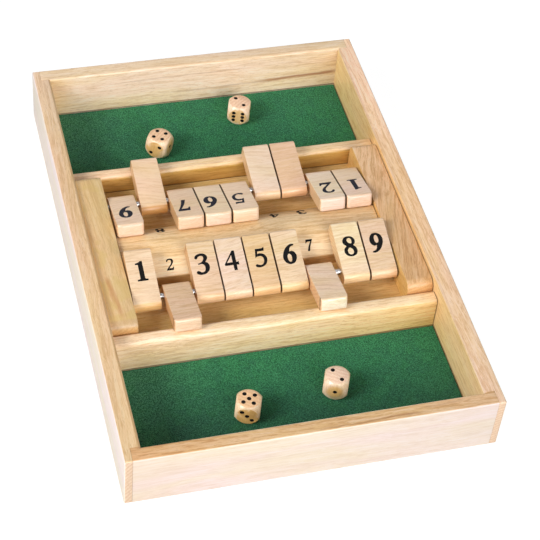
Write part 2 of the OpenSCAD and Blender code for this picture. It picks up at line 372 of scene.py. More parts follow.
def steel(name):
    """Bright drawn rod, with fine rings left by the drawing and small dull marks, made strong as painted
    reflections of dark surroundings.
    """
    p = Paint(name)
    mm = p.millimetres()
    drawn = p.drawn_out(mm, 0.06, 3, 3, 0.6)
    # Dull marks, strong enough to be painted reflections of dark surroundings
    marks = p.ramp(p.noise(mm, 0.8, 3, 0.6), 0.46, 0.62)
    colour = p.mix(p.math("MULTIPLY", marks, 0.75), srgb(188, 188, 190), srgb(84, 82, 80))
    return p.finish(colour, p.ramp(drawn, 0.3, 0.7, 0.16, 0.30), drawn, 0.1, 0.03 * MM, Metallic=1.0)


def pip_paint(name):
    """Dull black paint in the dishes of the pips."""
    p = Paint(name)
    cloud = p.noise(p.millimetres(), 1.5, 3, 0.6)
    colour = p.mix(p.ramp(cloud, 0.4, 0.7), srgb(8, 6, 5), srgb(24, 20, 18))
    rough = p.ramp(cloud, 0.3, 0.7, 0.55, 0.75)
    return p.finish(colour, rough, cloud, 0.1, 0.05 * MM, IOR=1.45, Specular_IOR_Level=0.15)


def mesh_object(name, bm, materials):
    mesh = bpy.data.meshes.new(name)
    bm.to_mesh(mesh)
    bm.free()
    made = bpy.data.objects.new(name, mesh)
    bpy.context.scene.collection.objects.link(made)
    for material in materials:
        mesh.materials.append(material)
    return made


def smoothed(made, angle=32):
    """Smooth shading, with sharp edges where faces meet at more than angle degrees."""
    mesh = made.data
    mesh.polygons.foreach_set("use_smooth", [True] * len(mesh.polygons))
    mesh.set_sharp_from_angle(angle=math.radians(angle))
    return made


# Lengths in millimetres: between points that are one, of the easing of most edges, and round a rod, where no
# edge is eased
WELD = 0.002
PLAIN_EASE = 0.3
BORE_ROOM = 3
# Angles in degrees: up to which faces are one flat, and from which an edge is eased
FLAT = 0.6
SHARP = 35


def off_the_rods(edge):
    """False on the edges that go round a bore."""
    middle = (edge.verts[0].co + edge.verts[1].co) / 2
    gaps = [math.hypot(middle.y - y * MM, middle.z - ROD_Z * MM) for y in (ROD_Y, -ROD_Y)]
    return min(gaps) > BORE_ROOM * MM


def dressed(node, body, material, ease=PLAIN_EASE, shape=None, extra=(), face_slot=None):
    """A copy of a CAD node with eased edges and a real material. It stands for the node.

    shape: a further change of the mesh, made before its edges are eased.
    face_slot: the place of each face's own material among material and extra.
    """
    bm = bmesh.new()
    bm.from_mesh(nodes[node].data)
    bmesh.ops.remove_doubles(bm, verts=bm.verts, dist=WELD * MM)
    bmesh.ops.dissolve_limit(bm, angle_limit=math.radians(FLAT), verts=bm.verts, edges=bm.edges)
    if shape:
        shape(bm)
    if ease:
        sharp = [e for e in bm.edges if len(e.link_faces) == 2 and e.is_convex
                 and e.calc_face_angle(0) > math.radians(SHARP) and off_the_rods(e)]
        bmesh.ops.bevel(bm, geom=sharp, offset=ease * MM, offset_type="OFFSET", segments=2, profile=0.6,
                        affect="EDGES", clamp_overlap=shape is None)
    bmesh.ops.recalc_face_normals(bm, faces=bm.faces)
    if face_slot:
        for face in bm.faces:
            face.material_index = face_slot(face)
    made = smoothed(mesh_object(node + "_looks", bm, [material, *extra]))
    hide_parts(node)
    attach(made, body)


# Walls, rails, beam, deck and blocks
# Directions: straight ones, the number beam's near slope, and the eased inner edges of three walls
UP, NEAR, FAR, LEFT, RIGHT = (0, 0, 1), (0, -1, 0), (0, 1, 0), (-1, 0, 0), (1, 0, 0)
SLOPE = (0, -0.54, 0.84)
NEAR_EDGE, LEFT_EDGE, RIGHT_EDGE = (0, 0.6, 0.8), (0.6, 0, 0.8), (-0.6, 0, 0.8)
# Tones of the walls' outer faces, where the near and the left one are paler as painted light, and of their end
# grain
FRONT_PAINTED_LIGHT = (237, 220, 209)
LEFT_SIDE_PAINTED_LIGHT = (255, 242, 235)
BACK_TAN = (250, 222, 184)
END_TAN = (236, 207, 178)
# Brown marks on the far wall, on the near wall's rim and on the left block
HEART = marking("X", "Z", NEAR, (176, 120, 84), 3, [
    (40, 114, 16.8, 19.2, 2.2, 0.9), (-30, 62, 15.4, 16.8, 1.0, 0.35), (-80, 50, 29.8, 31.8, 0.9, 0.30)])
RIM_MARK = marking("X", "Y", UP, (158, 108, 66), 5, [
    (-10, 70, -176.2, -174.5, 1.0, 0.6), (60, 96, -172, -170, 1.5, 0.35)])
BLOCK_MARK = marking("Y", "X", UP, (196, 132, 76), 7, [(-68, -24, -98.0, -103.5, 3.0, 0.6)])
# Seams, partly dirt and partly painted shade: at the walls' corners, at the ends of rails and deck and of the
# beam, and where the deck meets a rail
CORNERS = [("X", x, 0.3, 0.25, None) for x in (-WALL_X, WALL_X)]
ENDS = [("X", x, 0.5, 0.75, None) for x in (-RAIL_X, RAIL_X)]
BEAM_ENDS = [("X", x, 0.6, 0.8, None) for x in (-BEAM_X, BEAM_X)]
DECK_LINE = ("Z", reach("bridge_deck", "z"), 1.2, 0.6, NEAR)


def foot(direction):
    """The seam along the felt, partly dirt and partly painted shade."""
    return ("Z", FELT_TOP, 0.65, 0.75, direction)


def wall(tone, slant, outer, **looks):
    """The look of a wall, with outer as the direction, tone and share of grain of its outer face; on the near
    and left walls that tone is painted light.
    """
    pale = [(*outer, 0.35, 0.65), *looks.pop("pale")]
    return dict(tone=tone, slant=slant, end_tone=END_TAN, gloss=0.42, pale=pale, **looks)


BOX_LOOKS = {
    # Near wall: its outer face is painted light, and the paler tone on its eased inner top edge is a painted
    # highlight
    "near_wall": wall(
        (224, 184, 138), 1.5, (NEAR, FRONT_PAINTED_LIGHT, 0.25), bands=0.7, streaks=0.9, fine=0.8, marks=[RIM_MARK],
        pale=[(NEAR_EDGE, (255, 244, 222), 0.3, 0.90, 0.97)], seams=[*CORNERS, foot(FAR)],
        drift=[(UP, "X", -120, -20, (0.94, 0.83, 0.72), (1, 1, 1)),
               (NEAR, "X", -120, -40, (0.97, 0.95, 0.91), (1, 1, 1))]),
    # Far wall: its inner face is paler as painted light, and darker towards both ends as painted shade
    "far_wall": wall(
        (243, 214, 182), 1.5, (FAR, BACK_TAN, 0.6), bands=0.35, streaks=0.5, fine=0.5, marks=[HEART],
        pale=[(NEAR, (255, 228, 200), 1.0, 0.6, 0.9)], seams=[*CORNERS, foot(NEAR)],
        drift=[(NEAR, "X", -108, -84, (0.92, 0.84, 0.66), (1, 1, 1)),
               (NEAR, "X", 40, 104, (1, 1, 1), (0.91, 0.86, 0.81))]),
    # Left wall: its outer face is painted light, and the darker tone on its eased inner top edge is painted
    # shade
    "left_wall": wall(
        (246, 212, 168), 2.0, (LEFT, LEFT_SIDE_PAINTED_LIGHT, 0.22), grain="y", bands=0.35, streaks=0.5,
        pale=[(LEFT_EDGE, (222, 184, 132), 0.8, 0.88, 0.96)], seams=[foot(RIGHT)],
        drift=[(UP, "Y", -170, -20, (0.82, 0.82, 0.74), (0.96, 0.92, 0.93)),
               (UP, "Y", 60, 170, (1, 1, 1), (1.04, 1.08, 1.18))]),
    # Right wall: the darker tone on its eased inner top edge is painted shade, its paler inner face is painted
    # light, and its top and inner face grow lighter towards the far end as painted light
    "right_wall": wall(
        (246, 212, 176), -2.0, (RIGHT, BACK_TAN, 0.6), grain="y", streaks=0.58, fine=0.65,
        pale=[(RIGHT_EDGE, (226, 192, 160), 0.8, 0.88, 0.96), (LEFT, (255, 216, 160), 0.9, 0.92, 0.99)],
        seams=[foot(LEFT)],
        drift=[(UP, "Y", -170, 20, (0.89, 0.88, 0.93), (0.98, 0.91, 0.80)),
               (UP, "Y", 30, 110, (1, 1, 1), (1.19, 1.26, 1.47)),
               (LEFT, "Y", -170, 0, (1, 1.07, 1.16), (1, 0.95, 0.90)),
               (LEFT, "Y", 60, 170, (1, 1, 1), (1.06, 1.20, 1.27))]),
    # Base panel: its top, seen only in the gap round the felt, is painted dark as painted shade
    "base_panel": dict(
        tone=(206, 172, 128), slant=0.5, gloss=0.6, pale=[(UP, (88, 66, 44), 1.0, 0.6, 0.9)]),
    "near_rail": dict(
        tone=(255, 225, 188), slant=0.4, zones=0.6, gloss=0.50, seams=[*ENDS, foot(None)],
        drift=[(NEAR, "X", -40, 110, (1, 1, 1), (1.03, 0.97, 0.66)),
               (UP, "X", -40, 110, (1, 1, 1), (1, 1, 0.86))]),
    # Far rail: its near face is darker as painted shade and its top paler as painted light
    "far_rail": dict(
        tone=(234, 196, 140), slant=0.4, zones=0.7, gloss=0.34,
        pale=[(NEAR, (208, 162, 88), 1.0, 0.6, 0.9), (UP, (249, 214, 176), 1.0, 0.6, 0.9)],
        seams=[*ENDS, foot(None), DECK_LINE]),
    # Bridge deck: darker next to both rails as painted shade
    "bridge_deck": dict(
        tone=(244, 206, 138), slant=0.3, gloss=0.5, seams=ENDS,
        drift=[(UP, "Y", 40, 52, (1, 1, 1), (0.90, 0.93, 0.98)),
               (UP, "Y", -54, -44, (0.88, 0.86, 0.82), (1, 1, 1))]),
    # Number beam: the darker near face of its foot is painted shadow, and the paler slope is painted light
    "number_beam": dict(
        tone=(242, 207, 156), slant=0.6, zones=0.25, streaks=0.65, gloss=0.38, seams=BEAM_ENDS,
        pale=[(NEAR, (206, 162, 108), 1.0, 0.8, 0.95), (SLOPE, (255, 228, 186), 0.9, 0.95, 0.99)],
        drift=[(SLOPE, "X", -90, -20, (1.05, 1.0, 0.99), (1, 1, 1))]),
    # Left block: the darker tone on its near end's rounding is painted shade, and its top is lighter by the
    # left wall as painted light against that wall's shadow
    "left_block": dict(
        tone=(228, 194, 142), grain="y", slant=-3.0, bands=0.5, streaks=0.4, fine=0.4, gloss=0.46,
        blotch=0.6, marks=[BLOCK_MARK], pale=[((0, -0.85, 0.53), (200, 168, 124), 0.8, 0.5, 0.85)],
        drift=[(UP, "X", -107.5, -100, (1.22, 1.20, 1.16), (1, 1, 1))]),
    "right_block": dict(
        tone=(225, 184, 136), grain="y", slant=12.0, streaks=0.8, fine=0.75, gloss=0.42,
        end_tone=(222, 176, 120), end_from=0.5, seams=ENDS,
        pale=[(LEFT, (228, 184, 112), 0.8, 0.6, 0.9)],
        drift=[(UP, "Y", -40, 75, (0.90, 0.85, 0.79), (1.07, 1.09, 1.14))])}
# Easings that differ from the plain one, by node
EASE = {"near_rail": 0.25, "far_rail": 0.25, "bridge_deck": 0.2, "number_beam": 0.7, "left_block": 0.8,
        "right_block": 0.8}
BOX_SEED = 11

for count, (node, looks) in enumerate(BOX_LOOKS.items()):
    material = wood(node + "_wood", seed=BOX_SEED + count, **looks)
    dressed(node, "box", material, EASE.get(node, PLAIN_EASE))
rod_metal = steel("rod_metal")
for node in ("near_rod", "far_rod"):
    dressed(node, "box", rod_metal)

# Number tiles, with their tones, where tiles whose tops tilt away from the lamps, as the far row's open ones,
# are lighter as painted light
TILE_TONES_AND_LIGHT = {
    "near_tile_1": (237, 208, 170), "near_tile_2": (234, 197, 160), "near_tile_3": (232, 200, 165),
    "near_tile_4": (236, 208, 183), "near_tile_5": (230, 195, 152), "near_tile_6": (234, 206, 168),
    "near_tile_7": (246, 216, 185), "near_tile_8": (243, 219, 184), "near_tile_9": (228, 196, 165),
    "far_tile_1": (249, 217, 189), "far_tile_2": (252, 227, 199), "far_tile_3": (227, 189, 160),
    "far_tile_4": (236, 210, 183), "far_tile_5": (252, 222, 187), "far_tile_6": (252, 223, 191),
    "far_tile_7": (246, 212, 176), "far_tile_8": (234, 201, 168), "far_tile_9": (252, 218, 189)}
# Tones of the round ends as shares of the tile's own tone, painted light and shade: of most tiles, and of
# those that differ
BUTT_LIGHT_SHARE = (1.03, 1.0, 0.92)
BUTT_LIGHT_SHARES = {("near", 1): (0.98, 0.92, 0.76), ("near", 2): (0.90, 0.82, 0.70),
               ("near", 7): (0.90, 0.82, 0.70), ("far", 3): (1.0, 0.95, 0.85), ("far", 4): (1.0, 0.95, 0.85),
               ("far", 8): (0.86, 0.73, 0.53)}
# Tones of the free ends in the same way, painted light and shade: of the tiles that lie flipped, lighter, and
# of those that lie open, a little darker
FLIPPED_END_LIGHT = (1.09, 1.12, 1.16)
OPEN_END_SHADE = (0.975, 0.97, 1.0)
# Tones of the end grain on the sides in the same way: of a row, and of the tiles that differ from theirs
SIDE_SHARES = {"near": (0.95, 0.88, 0.77), "far": (0.95, 0.92, 0.84), ("near", 2): (1.0, 0.95, 0.86),
               ("near", 7): (0.98, 0.93, 0.85), ("near", 8): (1.02, 0.98, 0.90),
               ("far", 3): (1.0, 0.97, 0.88), ("far", 4): (1.0, 0.97, 0.88), ("far", 8): (0.99, 0.96, 0.88)}
# Radii of the corners at the free ends in millimetres, seen from above: of a row, and of tiles that differ
CORNER_R = {"near": 1.0, "far": 2.3, ("near", 2): 2.0, ("near", 7): 2.0, ("far", 3): 0.9, ("far", 4): 0.9,
            ("far", 8): 0.9}
# How far the shaping of the corners reaches from the free end, and how far from the round end a cut bounds it
CORNER_ZONE = 2.5
BUTT_ZONE = 6.0
# Strength of the grain in each row, the greatest slant of a tile's grain in degrees, and the seeds
CALM = {"near": 1.0, "far": 0.75}
TILE_SLANT = 12
SLANT_SEED = 40
TILE_SEED = 60
# The easing of a tile's edges, and the half width and the strength of the dark lines of painted shade beside
# it
TILE_EASE = 0.25
SHADE_LINE_HALF = 0.27
SHADE_LINE_SHARE = 0.8


def way_out(row, n):
    """The direction along a tile from its rod to its free end, at the tilt at which it rests."""
    tilt = math.radians(180 - RAIL_TILT if n in FLIPPED[row] else BEAM_TILT)
    out = Vector((0, math.cos(tilt), math.sin(tilt)))
    return Matrix.Rotation(math.pi, 3, "Z") @ out if row == "far" else out


def tile_ends(row, n, tone):
    """Tones of a tile's two ends, painted light and shade, on faces that look along its length at the tilt at
    which it rests.
    """
    def shade(shares):
        return tuple(min(255, round(v * k)) for v, k in zip(tone, shares))

    out = way_out(row, n)
    # Painted light and shade on the free end and on the round end
    free = shade(FLIPPED_END_LIGHT if n in FLIPPED[row] else OPEN_END_SHADE)
    butt = shade(BUTT_LIGHT_SHARES.get((row, n), BUTT_LIGHT_SHARE))
    return [(tuple(out), free, 0.9, 0.55, 0.85), (tuple(-out), butt, 0.9, 0.22, 0.50)]


def rounded_corners(out, corner_r):
    """Rounds the two corners of a tile's free end, seen from above, by sliding points back along the tile."""
    def shape(bm):
        along = [v.co.dot(out) for v in bm.verts]
        lo, hi = min(v.co.x for v in bm.verts), max(v.co.x for v in bm.verts)
        radius = corner_r * MM
        start = max(along) - CORNER_ZONE * MM
        for cut in (start, min(along) + BUTT_ZONE * MM):
            bmesh.ops.bisect_plane(bm, geom=[*bm.verts, *bm.edges, *bm.faces], dist=1e-6,
                                   plane_co=out * cut, plane_no=out)
        for turn in (30, 60, 90):
            inset = radius * (1 - math.cos(math.radians(turn)))
            for x in (lo + inset, hi - inset):
                part = {f for f in bm.faces if f.calc_center_median().dot(out) > start + 1e-6}
                geom = {*part, *(e for f in part for e in f.edges), *(v for f in part for v in f.verts)}
                bmesh.ops.bisect_plane(bm, geom=list(geom), dist=1e-6, plane_co=(x, 0, 0), plane_no=(1, 0, 0))
        for v in bm.verts:
            past = radius - min(v.co.x - lo, hi - v.co.x)
            if v.co.dot(out) > start + 1e-5 and past > 0:
                v.co -= out * (radius - math.sqrt(max(0, radius ** 2 - past ** 2)))
    return shape


def shut_sides(row, n):
    """Dark lines of painted shade along the sides that stand close to another tile or, on the right, to an end
    block.
    """
    lo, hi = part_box(f"{row}_tile_{n}")
    sides = []
    for step, x in ((-1, lo.x), (1, hi.x)):
        other = n + step * (1 if row == "near" else -1)
        by_block = other in (0, 10) and step > 0
        by_tile = 0 < other < 10 and (other in FLIPPED[row]) == (n in FLIPPED[row])
        if by_block or by_tile:
            sides.append(("X", x / MM, SHADE_LINE_HALF, SHADE_LINE_SHARE, None))
    return sides


for count, (node, tone) in enumerate(TILE_TONES_AND_LIGHT.items()):
    row, _, n = node.split("_")
    n = int(n)
    slant = random.Random(SLANT_SEED + count).uniform(-TILE_SLANT, TILE_SLANT)
    calm = CALM[row]
    side = tuple(int(v * k) for v, k in zip(tone, SIDE_SHARES.get((row, n), SIDE_SHARES[row])))
    material = wood(node + "_wood", tone, TILE_SEED + count, slant=slant, bands=0.35 * calm,
                    streaks=0.38 * calm, fine=0.45 * calm, pores=0.3 * calm, gloss=0.36,
                    pale=tile_ends(row, n, tone), seams=shut_sides(row, n), end_tone=side)
    corners = rounded_corners(way_out(row, n), CORNER_R.get((row, n), CORNER_R[row]))
    dressed(node, node, material, TILE_EASE, corners)

# Dice: their width, the diameter of the ball that rounds them as a share of it, and each one's turn in degrees
DIE_W = 16.0
DIE_BALL = 1.35
DIE_YAW = {"die_near_left": -19.7, "die_near_right": -21.5, "die_far_left": -34.8, "die_far_right": -19.5}
# Tones of each die, lit and shaded copies of one wood: rounded corners, paler as a painted highlight, top, and
# sides, darker as painted shade
DIE_TONES_AND_LIGHT = {"die_near_left": ((253, 223, 188), (251, 209, 163), (236, 190, 122)),
             "die_near_right": ((253, 225, 194), (251, 219, 193), (238, 194, 130)),
             "die_far_left": ((252, 221, 184), (246, 206, 168), (236, 191, 124)),
             "die_far_right": ((254, 223, 196), (251, 213, 181), (244, 199, 144))}
DIE_SEED = 90


def pip_finder(node):
    """1 on the faces of a pip's dish, 0 on the die's flats and its rounding."""
    lo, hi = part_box(node)
    centre = Vector(((lo.x + hi.x) / 2, (lo.y + hi.y) / 2, lo.z + DIE_W / 2 * MM))
    back = Matrix.Rotation(math.radians(DIE_YAW[node]), 3, "Z").inverted()

    def index(face):
        q = (back @ (face.calc_center_median() - centre)) / MM
        normal = back @ face.normal
        axis = max(range(3), key=lambda i: abs(q[i]))
        on_flat = abs(normal[axis]) > 0.999 and abs(abs(q[axis]) - DIE_W / 2) < 0.02
        on_ball = abs(q.length - DIE_W * DIE_BALL / 2) < 0.1
        return 0 if on_flat or on_ball else 1
    return index


die_black = pip_paint("pip_paint")
for count, (node, (round_highlight_tone, top_tone, side_shade_tone)) in enumerate(DIE_TONES_AND_LIGHT.items()):
    turns = [math.radians(DIE_YAW[node]) + k * math.pi / 2 for k in range(4)]
    # Flats in lit and shaded tones: painted light and shade
    flats = [(UP, top_tone, 0.9, 0.93, 0.99)]
    flats += [((math.cos(turn), math.sin(turn), 0), side_shade_tone, 0.9, 0.93, 0.99) for turn in turns]
    material = wood(node + "_wood", round_highlight_tone, DIE_SEED + count, "z", 8, zones=0.25, bands=0.4, streaks=0.4,
                    fine=0.4, pores=0.25, gloss=0.30, pale=flats, end_tone=top_tone)
    dressed(node, node, material, 0, extra=[die_black], face_slot=pip_finder(node))

# Felt sheets, in millimetres: the mesh's step, the mean fray of the edges, and how far the edge of the top is
# drawn in and down
FELT_STEP = 2.4
FRAY = 0.14
DRAWN_IN = 0.22
DRAWN_DOWN = 0.28
# How far the nap's top lies below the CAD felt's top, and how uneven it is
NAP_DOWN = 0.06
NAP = 0.05


def felt_sheet(node, material, seed):
    """A felt with an uneven nap, cut a little ragged at the edges."""
    lo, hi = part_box(node)
    count_x = round((hi.x - lo.x) / (FELT_STEP * MM))
    count_y = round((hi.y - lo.y) / (FELT_STEP * MM))
    bm = bmesh.new()

    def point(i, j, top):
        x = lo.x + (hi.x - lo.x) * i / count_x
        y = lo.y + (hi.y - lo.y) * j / count_y
        inward = Vector(((i == 0) - (i == count_x), (j == 0) - (j == count_y), 0))
        edge = inward.length > 0
        fray = FRAY + FRAY * noise.noise(Vector((x, y, seed)) * 160) + (DRAWN_IN if top else 0)
        nap = 0 if edge else NAP * noise.noise(Vector((x, y, seed)) * 90)
        spot = Vector((x, y, 0)) + inward * fray * MM
        height = hi.z - (DRAWN_DOWN if edge else NAP_DOWN) * MM + nap * MM if top else lo.z
        return bm.verts.new((spot.x, spot.y, height))

    low, top = ([[point(i, j, level) for j in range(count_y + 1)] for i in range(count_x + 1)]
                for level in (False, True))
    for i in range(count_x):
        for j in range(count_y):
            bm.faces.new((top[i][j], top[i + 1][j], top[i + 1][j + 1], top[i][j + 1]))
            bm.faces.new((low[i][j + 1], low[i + 1][j + 1], low[i + 1][j], low[i][j]))
    for i in range(count_x):
        bm.faces.new((low[i][0], low[i + 1][0], top[i + 1][0], top[i][0]))
        bm.faces.new((top[i][count_y], top[i + 1][count_y], low[i + 1][count_y], low[i][count_y]))
    for j in range(count_y):
        bm.faces.new((top[0][j], top[0][j + 1], low[0][j + 1], low[0][j]))
        bm.faces.new((low[count_x][j], low[count_x][j + 1], top[count_x][j + 1], top[count_x][j]))
    bmesh.ops.recalc_face_normals(bm, faces=bm.faces)
    made = smoothed(mesh_object(node + "_cloth", bm, [material]), 50)
    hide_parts(node)
    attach(made, "box")


felt_cloth = felt("felt_cloth")
felt_sheet("near_felt", felt_cloth, 3.1)
felt_sheet("far_felt", felt_cloth, 7.7)

# Digits: outlines in millimetres round their own centres. A point marked True is a corner, and the others lie
# on a smooth curve. A digit's first outline is its outside, and any others are holes.
GLYPHS = {
    1: [[(0.4, 7.15, True), (1.5, 7.15, True), (1.55, -5.2, True), (1.85, -5.75), (2.5, -6.05),
         (3.5, -6.2, True), (3.5, -7.15, True), (-3.35, -7.15, True), (-3.35, -6.2, True), (-2.3, -6.05),
         (-1.6, -5.75), (-1.3, -5.2, True), (-1.3, 4.7, True), (-1.9, 4.95), (-3.1, 5.0, True),
         (-3.1, 5.75, True), (-1.1, 6.2), (0.4, 7.15, True)]],
    2: [[(-3.8, 4.5), (-3.3, 5.8), (-1.9, 6.9), (0.3, 7.25), (2.5, 6.8), (3.9, 5.5), (4.3, 3.7), (3.8, 1.8),
         (2.4, -0.3), (0.3, -2.7), (-1.6, -4.75, True), (1.7, -4.9), (3.0, -4.6), (3.75, -3.4, True),
         (4.5, -3.45, True), (3.7, -7.2, True), (-4.35, -7.2, True), (-4.45, -6.4, True), (-1.9, -3.4),
         (0.3, -0.8), (1.6, 1.2), (2.0, 3.2), (1.5, 5.0), (0.1, 5.8), (-1.5, 5.5), (-2.4, 4.4), (-2.9, 3.7),
         (-3.6, 3.75)]],
    3: [[(-4.2, 4.9), (-3.4, 6.4), (-1.6, 7.4), (0.4, 7.65), (2.6, 7.0), (3.9, 5.5), (3.9, 3.8), (3.1, 2.4),
         (2.1, 1.3, True), (3.6, 0.3), (4.4, -1.4), (4.3, -3.5), (3.3, -5.6), (1.4, -7.1), (-1.2, -7.7),
         (-3.2, -7.4), (-4.4, -6.6), (-4.6, -5.6), (-3.8, -4.9), (-2.7, -5.2), (-1.5, -6.1), (-0.2, -6.15),
         (1.1, -5.2), (1.7, -3.5), (1.6, -1.5), (0.8, -0.3), (-0.6, 0.2), (-2.5, -0.2, True),
         (-2.6, 0.45, True), (-0.5, 1.1), (0.9, 2.3), (1.6, 3.9), (1.4, 5.4), (0.3, 6.15), (-1.1, 6.0),
         (-2.3, 5.1), (-2.9, 4.2), (-3.7, 4.1)]],
    4: [[(1.6, 7.1, True), (3.05, 7.1, True), (2.95, -1.5, True), (3.6, -1.5), (4.6, -1.2, True),
         (4.6, -3.5, True), (3.6, -3.25), (2.9, -3.2, True), (2.8, -7.2, True), (0.85, -7.2, True),
         (0.8, -3.2, True), (-4.6, -3.3, True), (-4.75, -2.2, True), (1.6, 7.1, True)],
        [(0.65, 4.2, True), (0.7, -1.4, True), (-3.3, -1.4, True), (0.65, 4.2, True)]],
    5: [[(-2.4, 6.5, True), (0.6, 6.45), (2.2, 6.6), (3.45, 7.2, True), (3.2, 4.75, True),
         (-1.35, 4.7, True), (-1.8, 2.45, True), (-0.2, 2.9), (1.8, 2.5), (3.4, 1.1), (4.1, -1.2),
         (3.6, -3.8), (1.9, -5.9), (-0.5, -6.95), (-2.6, -6.95), (-4.0, -6.3), (-4.2, -5.4), (-3.4, -4.85),
         (-2.3, -5.25), (-1.1, -5.7), (0.3, -5.4), (1.6, -4.0), (2.15, -2.0), (1.8, -0.2), (0.6, 0.95),
         (-1.0, 1.15), (-2.4, 0.85), (-3.35, 0.2, True), (-2.4, 6.5, True)]],
    6: [[(4.35, 6.9, True), (2.2, 7.2), (-0.9, 5.4), (-3.2, 2.2), (-4.45, -1.9), (-3.8, -5.0), (-2.1, -6.7),
         (0.0, -7.25), (2.3, -6.6), (4.0, -4.2), (4.5, -1.4), (3.7, 0.9), (2.1, 2.0), (0.2, 1.7, True),
         (0.95, 4.3), (2.1, 5.6), (3.95, 6.25, True), (4.35, 6.9, True)],
        [(-0.1, 0.4), (1.1, -0.5), (1.45, -2.7), (1.0, -5.0), (-0.1, -5.9), (-1.3, -5.0), (-1.75, -2.6),
         (-1.3, -0.4)]],
    7: [[(-3.7, 7.3, True), (4.25, 7.3, True), (4.25, 6.5, True), (2.6, 3.0), (0.9, -1.6),
         (-0.35, -7.2, True), (-2.8, -7.2, True), (-1.3, -2.2), (0.4, 1.6), (2.1, 4.65, True), (-1.8, 4.7),
         (-2.9, 4.25), (-3.55, 2.85, True), (-4.2, 2.95, True), (-3.7, 7.3, True)]],
    8: [[(0.2, 7.4), (2.9, 6.6), (4.2, 4.2), (3.7, 2.0), (2.5, 0.6), (3.8, -0.9), (4.4, -3.5), (3.3, -6.2),
         (0.1, -7.5), (-3.1, -6.4), (-4.35, -3.8), (-3.7, -1.3), (-2.2, 0.3), (-3.6, 1.9), (-4.1, 4.1),
         (-2.7, 6.5)],
        [(0.6, 6.25), (1.9, 5.5), (2.2, 3.9), (1.5, 1.9), (-0.5, 2.6), (-1.3, 4.3), (-0.8, 5.7)],
        [(-0.2, -0.9), (1.6, -2.2), (2.1, -4.2), (1.4, -5.8), (-0.1, -6.35), (-1.7, -5.5), (-2.2, -3.6),
         (-1.6, -1.9)]],
}
GLYPHS[9] = [[(-x, -y, *corner) for x, y, *corner in loop] for loop in GLYPHS[6]]
# Where each visible digit's centre lies: aside from the tile's middle, then out from the rod
DIGIT_SPOT = {("near", 1): (0.1, 17.6), ("near", 3): (-1.1, 16.8), ("near", 4): (-0.5, 16.4),
              ("near", 5): (0.2, 15.9), ("near", 6): (0.75, 15.5), ("near", 8): (0.1, 15.3),
              ("near", 9): (0.0, 15.4), ("far", 1): (-0.9, 18.4), ("far", 2): (-0.3, 18.2),
              ("far", 5): (1.35, 17.6), ("far", 6): (1.8, 17.2), ("far", 7): (2.3, 17.6),
              ("far", 9): (0.7, 17.0)}
PLAIN_SPOT = (0, 17)
# The same on the beam: aside, then down the slope from its top edge, and the digits' scales there
SLOPE_SPOT = {("near", 2): (0.6, 7.9), ("near", 7): (-0.1, 7.45)}
PLAIN_SLOPE_SPOT = (0, 7.6)
SLOPE_SCALE = {"near": (0.56, 0.54), "far": (0.64, 0.68)}
# How far an outline is moved out, and how far the ink stands above its face and reaches into it
BOLD = 0.16
FAR_SLOPE_BOLD = 0.45
INK_LIFT = 0.03
INK_SINK = 0.03
CURVE_STEPS = 6


def curved(points):
    """The closed outline in short steps: Hermite curves through smooth points, straight into the corners."""
    flat = [(Vector(p[:2]), len(p) > 2) for p in points]
    if (flat[0][0] - flat[-1][0]).length < 1e-6:
        flat.pop()
    count = len(flat)
    out = []
    for i in range(count):
        (a, corner_a), (b, corner_b) = flat[i], flat[(i + 1) % count]
        out.append(a)
        if corner_a and corner_b:
            continue
        before, after = flat[i - 1][0], flat[(i + 2) % count][0]
        chord = (b - a).length
        start = (b - a) if corner_a else (b - before).normalized() * chord
        stop = (b - a) if corner_b else (after - a).normalized() * chord
        for k in range(1, CURVE_STEPS):
            t = k / CURVE_STEPS
            out.append(a * (2 * t ** 3 - 3 * t ** 2 + 1) + start * (t ** 3 - 2 * t ** 2 + t)
                       + b * (3 * t ** 2 - 2 * t ** 3) + stop * (t ** 3 - t ** 2))
    return out


def bolder(points, hole, bold):
    """The outline moved out by bold, or in towards a hole's middle."""
    area = sum(a.x * b.y - b.x * a.y for a, b in zip(points, points[1:] + points[:1]))
    sign = (1 if area > 0 else -1) * (-1 if hole else 1)
    out = []
    for i, here in enumerate(points):
        before = (here - points[i - 1]).normalized()
        after = (points[(i + 1) % len(points)] - here).normalized()
        lean = before + after
        if lean.length < 0.3:
            lean = before
        lean.normalize()
        out.append(here + sign * bold * Vector((lean.y, -lean.x)))
    return out


def digit(name, n, place, body, material, scale=(1, 1), bold=BOLD):
    """Digit n as a thin printed layer. place takes the digit's own plane to the frame, in millimetres."""
    curve = bpy.data.curves.new(name + "_outline", "CURVE")
    curve.dimensions = "2D"
    curve.fill_mode = "BOTH"
    curve.extrude = (INK_LIFT + INK_SINK) / 2
    for count, loop in enumerate(GLYPHS[n]):
        points = bolder(curved(loop), count > 0, bold)
        spline = curve.splines.new("POLY")
        spline.points.add(len(points) - 1)
        for point, (x, y) in zip(spline.points, points):
            point.co = (x * scale[0], y * scale[1], 0, 1)
        spline.use_cyclic_u = True
    drawn = bpy.data.objects.new(name + "_outline", curve)
    mesh = bpy.data.meshes.new_from_object(drawn)
    bpy.data.objects.remove(drawn)
    bpy.data.curves.remove(curve)
    bm = bmesh.new()
    bm.from_mesh(mesh)
    bpy.data.meshes.remove(mesh)
    bmesh.ops.remove_doubles(bm, verts=bm.verts, dist=0.001)
    bmesh.ops.translate(bm, verts=bm.verts, vec=(0, 0, (INK_LIFT - INK_SINK) / 2))
    bmesh.ops.transform(bm, matrix=Matrix.Diagonal((MM, MM, MM, 1)) @ place, verts=bm.verts)
    bmesh.ops.recalc_face_normals(bm, faces=bm.faces)
    made = mesh_object(name, bm, [material])
    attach(made, body)


